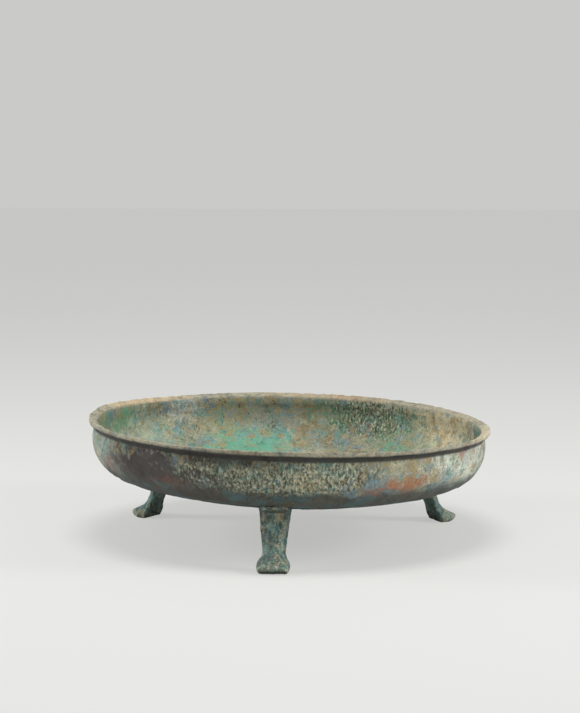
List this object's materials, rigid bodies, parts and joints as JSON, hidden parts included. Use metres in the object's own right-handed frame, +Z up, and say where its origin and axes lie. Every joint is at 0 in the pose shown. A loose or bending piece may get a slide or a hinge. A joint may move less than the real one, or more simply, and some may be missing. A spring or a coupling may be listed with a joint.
{
  "type": "bronze tripod basin",
  "caption": "Wide shallow bronze basin with an everted flanged lip, rounded sides and short splayed strap legs; open at the top, with a corroded green surface.",
  "frame": {"origin": "on the ground, below the centre of the lip's top, which is the centre of the bounding box's bottom", "axes": "+Z up from the ground; -Y towards the front leg; +X towards the side on which the bowl stands lower"},
  "size_m": [0.3598, 0.36, 0.1103],
  "materials": {
    "bowl": "mineralised green, tan and grey-blue patina on cast bronze",
    "leg": "blue-green patina on cast bronze",
    "spacer": "brown patina on cast bronze"
  },
  "bodies": {
    "root": {"bowl": "bowl", "leg_front": "leg", "leg_right": "leg", "leg_left": "leg", "base_spacer_1": "spacer", "base_spacer_2": "spacer", "base_spacer_3": "spacer", "base_spacer_4": "spacer", "base_spacer_5": "spacer", "base_spacer_6": "spacer"}
  },
  "joints": []
}
